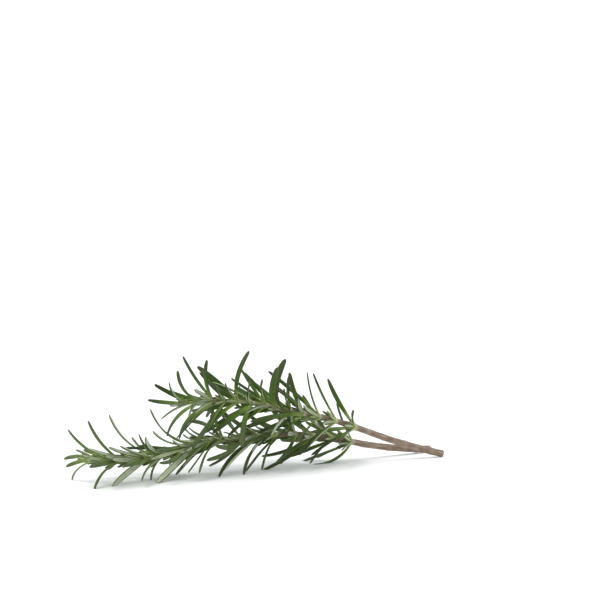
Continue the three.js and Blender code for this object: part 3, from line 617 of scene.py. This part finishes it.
def leaf_back():
    """Pale grey-green felt with a darker midrib."""
    g = Nodes("rosemary_leaf_back")
    _, t, u, s = g.attr("leaf_a")
    _, age, rnd, length = g.attr("leaf_b")
    obj = g.coords()
    felt = g.noise(obj, 3800.0, 4.0, 0.7)
    big = g.noise(obj, 260.0, 2.0)
    col = g.mix(g.remap(rnd, 0.0, 1.0, smooth=False), BACK_A, BACK_B)
    col = g.mix(g.remap(big, 0.35, 0.7), col, BACK_C)
    col = g.mix(g.math("MULTIPLY", g.remap(felt, 0.4, 0.75), 0.5), col, BACK_FELT)
    col = g.mix(g.math("MULTIPLY", age, 0.8), col, BACK_YOUNG)
    au = g.math("ABSOLUTE", u)
    rib = g.math("MULTIPLY", g.remap(au, 0.02, 0.12, 1.0, 0.0), 0.7)
    col = g.mix(rib, col, BACK_RIB)
    edge = g.remap(s, 0.2, 0.9)
    col = g.mix(edge, col, LEAF_EDGE)
    # the felt also fades to the pale stalk colour at the base, which is partly painted light
    base = g.remap(t, 0.02, 0.2, 1.0, 0.0)
    col = g.mix(g.math("MULTIPLY", base, 0.6), col, STALK_GREEN_AND_PAINTED_LIGHT)
    g.put(g.bsdf.inputs["Base Color"], col)
    g.put(g.bsdf.inputs["Roughness"], g.remap(felt, 0.3, 0.7, 0.78, 0.95, smooth=False))
    g.bsdf.inputs["Sheen Weight"].default_value = 0.25
    g.bsdf.inputs["Sheen Roughness"].default_value = 0.6
    g.bsdf.inputs["Specular IOR Level"].default_value = 0.25
    g.put(g.bsdf.inputs["Normal"], g.bump(felt, 0.00016, 0.8))
    return g.mat


def bark():
    """Green and downy at the growing tip, then tan, then grey-brown fissured bark."""
    g = Nodes("rosemary_stem_bark")
    vec, ca, sa, s = g.attr("leaf_a")        # unit circle round the stem, and distance along it in metres
    _, f, node, rnd = g.attr("leaf_b")       # 0 at the tip to 1 at the cut end, nearness of a joint
    stretched = g.scaled(vec, 1.6, 1.6, 55.0)
    streak = g.noise(stretched, 2.2, 4.0, 0.65, 0.4)
    fine = g.noise(g.scaled(vec, 5.0, 5.0, 320.0), 2.0, 4.0, 0.6)
    blotch = g.noise(g.scaled(vec, 1.0, 1.0, 120.0), 1.3, 3.0)
    col = g.mix(g.remap(f, 0.16, 0.38), STEM_GREEN, STEM_TAN)
    col = g.mix(g.remap(f, 0.34, 0.62), col, STEM_BROWN)
    col = g.mix(g.math("MULTIPLY", g.remap(streak, 0.45, 0.68), 0.72), col, STEM_PALE)
    col = g.mix(g.math("MULTIPLY", g.remap(fine, 0.52, 0.75), g.remap(f, 0.1, 0.5, 0.15, 0.75)), col, STEM_DARK)
    col = g.mix(g.math("MULTIPLY", g.remap(blotch, 0.45, 0.7), g.remap(f, 0.2, 0.45, 0.05, 0.5)), col, STEM_PURPLE)
    col = g.mix(g.math("MULTIPLY", g.math("MULTIPLY", node, g.remap(f, 0.12, 0.34, 0.2, 1.0)), g.remap(f, 0.45, 0.85, 0.95, 0.35)), col, STEM_NODE)
    g.put(g.bsdf.inputs["Base Color"], col)
    g.put(g.bsdf.inputs["Roughness"], g.remap(fine, 0.3, 0.7, 0.68, 0.9, smooth=False))
    g.bsdf.inputs["Specular IOR Level"].default_value = 0.3
    g.bsdf.inputs["Sheen Weight"].default_value = 0.15
    h = g.math("ADD", g.math("MULTIPLY", streak, 1.0), g.math("MULTIPLY", fine, 0.6))
    g.put(g.bsdf.inputs["Normal"], g.bump(h, 0.00036, 0.85))
    return g.mat


def cut_wood():
    """The cut face: pale wood in faint rings, a soft pith, and a green-brown rim."""
    g = Nodes("rosemary_cut_wood")
    vec, x, y, rr = g.attr("leaf_a")         # place on the face and distance from its middle, both over the radius
    rays = g.noise(g.scaled(vec, 9.0, 9.0, 0.0), 1.0, 3.0)
    wave = g.math("SINE", g.math("MULTIPLY", rr, 26.0))
    col = g.mix(g.remap(wave, -1.0, 1.0, 0.0, 0.35, smooth=False), WOOD_PALE, WOOD_RING)
    col = g.mix(g.math("MULTIPLY", g.remap(rays, 0.4, 0.7), 0.3), col, WOOD_RING)
    col = g.mix(g.remap(rr, 0.20, 0.10, 0.0, 1.0), col, WOOD_PITH)
    col = g.mix(g.remap(rr, 0.80, 0.88), col, WOOD_RIM)
    col = g.mix(g.remap(rr, 0.92, 0.98), col, STEM_BROWN)
    g.put(g.bsdf.inputs["Base Color"], col)
    g.bsdf.inputs["Roughness"].default_value = 0.75
    g.put(g.bsdf.inputs["Normal"], g.bump(rays, 0.00012, 0.6))
    return g.mat


# colours, linear
def rgb(r, g, b):
    return tuple(((c / 255) / 12.92 if c / 255 <= 0.04045 else ((c / 255 + 0.055) / 1.055) ** 2.4) for c in (r, g, b))


LEAF_DARK_A = rgb(38, 62, 8)
LEAF_DARK_B = rgb(80, 100, 54)
LEAF_DARK_C = rgb(46, 78, 6)
LEAF_MID = rgb(84, 122, 30)
LEAF_SPECK = rgb(86, 106, 64)
LEAF_GROOVE = rgb(96, 120, 58)
LEAF_EDGE = rgb(80, 102, 54)
# pale stalk green, partly the stalk's own colour and partly painted light that brightens the leaf bases
STALK_GREEN_AND_PAINTED_LIGHT = rgb(172, 190, 106)
LEAF_TIP = rgb(70, 62, 40)
LEAF_OUTER_A = rgb(60, 62, 38)
LEAF_OUTER_B = rgb(92, 92, 74)
LEAF_YOUNG_A = rgb(158, 182, 96)
LEAF_YOUNG_B = rgb(182, 202, 128)
BACK_A = rgb(156, 171, 124)
BACK_B = rgb(198, 205, 184)
BACK_C = rgb(160, 172, 138)
BACK_FELT = rgb(204, 210, 196)
BACK_YOUNG = rgb(202, 214, 162)
BACK_RIB = rgb(134, 154, 98)
STEM_GREEN = rgb(150, 164, 100)
STEM_TAN = rgb(150, 140, 106)
STEM_BROWN = rgb(122, 100, 86)
STEM_PALE = rgb(178, 168, 140)
STEM_DARK = rgb(78, 60, 52)
STEM_PURPLE = rgb(112, 86, 84)
STEM_NODE = rgb(200, 204, 168)
WOOD_PALE = rgb(214, 200, 158)
WOOD_RING = rgb(178, 156, 108)
WOOD_PITH = rgb(158, 146, 100)
WOOD_RIM = rgb(112, 120, 66)

TOP, BACK, BARK, WOOD = leaf_top(), leaf_back(), bark(), cut_wood()


# ---- stems -------------------------------------------------------------------------
def stem_parts(line, joints, key):
    rng = np.random.default_rng(71 if key == "a" else 72)
    scars = []
    last = max(joints)
    a = last + 8.0
    while a < line.length - 4:
        scars.append(a)
        a += rng.uniform(6.0, 10.5)
    ats = [(j, 1.0) for j in joints] + [(x, float(rng.uniform(0.25, 0.5))) for x in scars]
    s = np.arange(0.0, line.length + 1e-6, 0.8)
    s = np.r_[s[:-1], line.length]
    m = 24
    ang = 2 * math.pi * np.arange(m) / m
    V, A, B = [], [], []
    for x in s:
        T, N, Bv = line.frame(x)
        c = line.at(x)
        r = line.r(x)
        f = x / line.length
        near = 0.0
        turn = 0.0
        best = 1e9
        for q, (j, g) in enumerate(ats):
            near = max(near, g * math.exp(-(((x - j) / 1.25) ** 2)))
            if abs(x - j) < best:
                best, turn = abs(x - j), q * math.pi / 2
        # young stems are square, old ones round; joints swell, most on the two leaf sides
        square = 0.07 * (1 - f) * np.cos(4 * (ang - 0.3))
        swell = near * min(1.0, 0.25 + 2.2 * f) * (0.16 + 0.16 * np.cos(2 * (ang - turn)))
        rough = 0.018 * np.sin(5 * ang + x * 0.7) + 0.02 * np.sin(9 * ang - x * 0.43 + 1.3) * (0.4 + f)
        tip = min(1.0, 0.35 + x / 2.5)
        rr = r * tip * (1 + square + swell + rough)
        for k in range(m):
            d = math.cos(ang[k]) * N + math.sin(ang[k]) * Bv
            V.append(c + d * rr[k])
            A.append((math.cos(ang[k]), math.sin(ang[k]), x * MM))
            B.append((f, near, 0.0))
    rows = len(s)
    F, M = [], []
    for i in range(rows - 1):
        for k in range(m):
            k2 = (k + 1) % m
            F.append((i * m + k, i * m + k2, (i + 1) * m + k2, (i + 1) * m + k))
            M.append(0)
    # closed growing tip
    T0 = line.frame(0)[0]
    V.append(line.at(0) + T0 * 0.5)
    A.append((0, 0, 0))
    B.append((0, 0, 0))
    tip = len(V) - 1
    for k in range(m):
        F.append((k, tip, (k + 1) % m))
        M.append(0)
    # the cut face has its own rings of points
    Tn, Nn, Bn = line.frame(line.length)
    c = line.at(line.length)
    start = (rows - 1) * m
    ring0 = len(V)
    edge = np.array([V[start + k] for k in range(m)])
    fr = [1.0, 0.9, 0.7, 0.45, 0.2]
    for q in fr:
        for k in range(m):
            V.append(c + (edge[k] - c) * q - Tn * (0.06 * (1 - q)))
            A.append((math.cos(ang[k]) * q, math.sin(ang[k]) * q, q))
            B.append((1, 0, 0))
    V.append(c - Tn * 0.03)
    A.append((0, 0, 0))
    B.append((1, 0, 0))
    mid = len(V) - 1
    for i in range(len(fr) - 1):
        for k in range(m):
            k2 = (k + 1) % m
            F.append((ring0 + i * m + k, ring0 + i * m + k2, ring0 + (i + 1) * m + k2, ring0 + (i + 1) * m + k))
            M.append(1)
    for k in range(m):
        F.append((ring0 + (len(fr) - 1) * m + k, ring0 + (len(fr) - 1) * m + (k + 1) % m, mid))
        M.append(1)
    # join the side to the face: weld the doubled rim by using the side's rim for the first ring
    F = [tuple(start + (i - ring0) if ring0 <= i < ring0 + m else i for i in f) for f in F]
    keep = [i for i in range(len(V)) if not ring0 <= i < ring0 + m]
    index = {o: n for n, o in enumerate(keep)}
    F = [tuple(index[i] for i in f) for f in F]
    V = np.array(V)[keep]
    A = np.array(A)[keep]
    B = np.array(B)[keep]
    return V, F, M, A, B


# ---- build -------------------------------------------------------------------------
LINES = {k: Line(v["path"]) for k, v in SPRIGS.items()}
for key, sprig in SPRIGS.items():
    line = LINES[key]
    stem = make_object(f"rosemary_{key}_stem", [stem_parts(line, [w[0] for w in sprig["whorls"]], key)], [BARK, WOOD])
    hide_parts(f"sprig_{key}_stem")
    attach(stem, "root")
    for i, (at, rows) in enumerate(sprig["whorls"]):
        rng = np.random.default_rng(1000 + 100 * (key == "b") + i)
        age = float(np.interp(i, [0, 2, 5, 8, 11, 14], [0.92, 0.74, 0.52, 0.34, 0.16, 0.05] if key == "a" else [0.36, 0.24, 0.10, 0.05, 0.03, 0.03]))
        # the leaves of the front sprig are painted a little greyer: a painted grey sheen in their colour
        pale = 0.4 if key == "a" else 0.0
        parts = []
        for row in rows:
            # the long outer leaves are older than the short inner ones
            a_ = float(np.clip(age * np.interp(row[5], [12, 18], [1.0, 0.3]) + rng.uniform(-0.06, 0.08) + max(0, (14 - row[5]) / 40), 0, 1))
            parts.append(leaf_mesh(line, at, row, rng, a_, pale=pale))
        # the small leaves of the side shoots, tucked in round the stem
        have = [r[0] for r in rows]
        for q in range(min(9, 3 + 2 * i)):
            best = None
            for _try in range(10):
                az = rng.uniform(0, 360)
                gap = min(abs((az - h + 180) % 360 - 180) for h in have)
                if best is None or gap > best[0]:
                    best = (gap, az)
            az = best[1]
            have.append(az)
            size = rng.uniform(0, 1) * min(1.0, 0.25 + 0.2 * i)
            row = [az, rng.uniform(11, 27) * np.interp(i, [0, 6], [0.5, 1.0]), rng.uniform(-4, 14), rng.uniform(-6, 6), rng.uniform(-18, 18), 3.6 + 6.4 * size, 1.2 + 0.9 * size]
            parts.append(leaf_mesh(line, at - rng.uniform(-0.4, 0.8), row, rng, float(rng.uniform(0.45, 0.95)), SMALL, 14, 0.36, pale))
        if i == 0:
            # the growing tip
            for q in range(7):
                row = [q * 137.5, 4 + 2.6 * q, rng.uniform(-4, 6), 0, rng.uniform(-12, 12), 2.4 + 0.5 * q, 0.95 + 0.08 * q]
                parts.append(leaf_mesh(line, at - 1.4 + 0.15 * q, row, rng, 1.0, SMALL, 14, 0.36, pale))
        ob = make_object(f"rosemary_{key}_leaves_{i + 1:02d}", parts, [TOP, BACK])
        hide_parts(f"sprig_{key}_leaves_{i + 1:02d}")
        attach(ob, "root")

# ---- floor, light, camera ----------------------------------------------------------
def simple_material(name, color, rough):
    m = bpy.data.materials.new(name)
    m.use_nodes = True
    b = m.node_tree.nodes["Principled BSDF"]
    b.inputs["Base Color"].default_value = (*color, 1)
    b.inputs["Roughness"].default_value = rough
    b.inputs["Specular IOR Level"].default_value = 0.2
    return m


me = bpy.data.meshes.new("floor")
n = 96
me.from_pydata([(8 * math.cos(2 * math.pi * i / n), 8 * math.sin(2 * math.pi * i / n), 0) for i in range(n)], [], [tuple(range(n))])
floor = bpy.data.objects.new("floor", me)
bpy.context.scene.collection.objects.link(floor)
me.materials.append(simple_material("floor_white", (0.93, 0.94, 0.955), 0.8))

world = bpy.data.worlds.new("studio")
bpy.context.scene.world = world
world.use_nodes = True
wt = world.node_tree
bg = wt.nodes["Background"]
tc = wt.nodes.new("ShaderNodeTexCoord")
sx = wt.nodes.new("ShaderNodeSeparateXYZ")
wt.links.new(tc.outputs["Generated"], sx.inputs[0])
mr = wt.nodes.new("ShaderNodeMapRange")
mr.interpolation_type = "SMOOTHSTEP"
mr.inputs["From Min"].default_value = 0.25
mr.inputs["From Max"].default_value = 0.75
mr.inputs["To Min"].default_value = 1.05
mr.inputs["To Max"].default_value = 0.72
wt.links.new(sx.outputs[2], mr.inputs["Value"])
wt.links.new(mr.outputs["Result"], bg.inputs["Strength"])
bg.inputs["Color"].default_value = (0.975, 0.988, 1.0, 1)

YAW = math.radians(31.0)
SHIFT = Vector((2.6, 1.655, 0.0))


def to_row(x, y, z):
    """From the camera's own ground frame, +Y away from it, to the row frame."""
    c, s = math.cos(YAW), math.sin(YAW)
    x, y = x + 17.5, y - 691.0
    return (Vector((c * x + s * y, -s * x + c * y, z)) + SHIFT) * MM


def sun(name, source, strength, angle, color=(1, 1, 1)):
    d = bpy.data.lights.new(name, "SUN")
    d.energy = strength
    d.angle = math.radians(angle)
    d.color = color
    o = bpy.data.objects.new(name, d)
    bpy.context.scene.collection.objects.link(o)
    o.rotation_euler = (to_row(-17.5, 691, 0) - source).to_track_quat("-Z", "Y").to_euler()
    return o


sun("key", to_row(-480, 260, 900), 1.92, 40, (1.0, 0.985, 0.955))
sun("back", to_row(300, 1500, 900), 0.35, 60, (0.97, 0.99, 1.0))

cam = bpy.data.cameras.new("camera")
cam.sensor_width = 36.0
cam.lens = 87.0
cam.clip_start = 0.01
cam_ob = bpy.data.objects.new("camera", cam)
bpy.context.scene.collection.objects.link(cam_ob)
pitch = math.atan2(75, 1450)
fwd = to_row(0, math.cos(pitch) * 1000, 117 - math.sin(pitch) * 1000) - to_row(0, 0, 117)
cam_ob.location = to_row(0, 0, 117)
cam_ob.rotation_euler = fwd.to_track_quat("-Z", "Y").to_euler()
bpy.context.scene.camera = cam_ob
bpy.context.scene.view_settings.view_transform = "Standard"
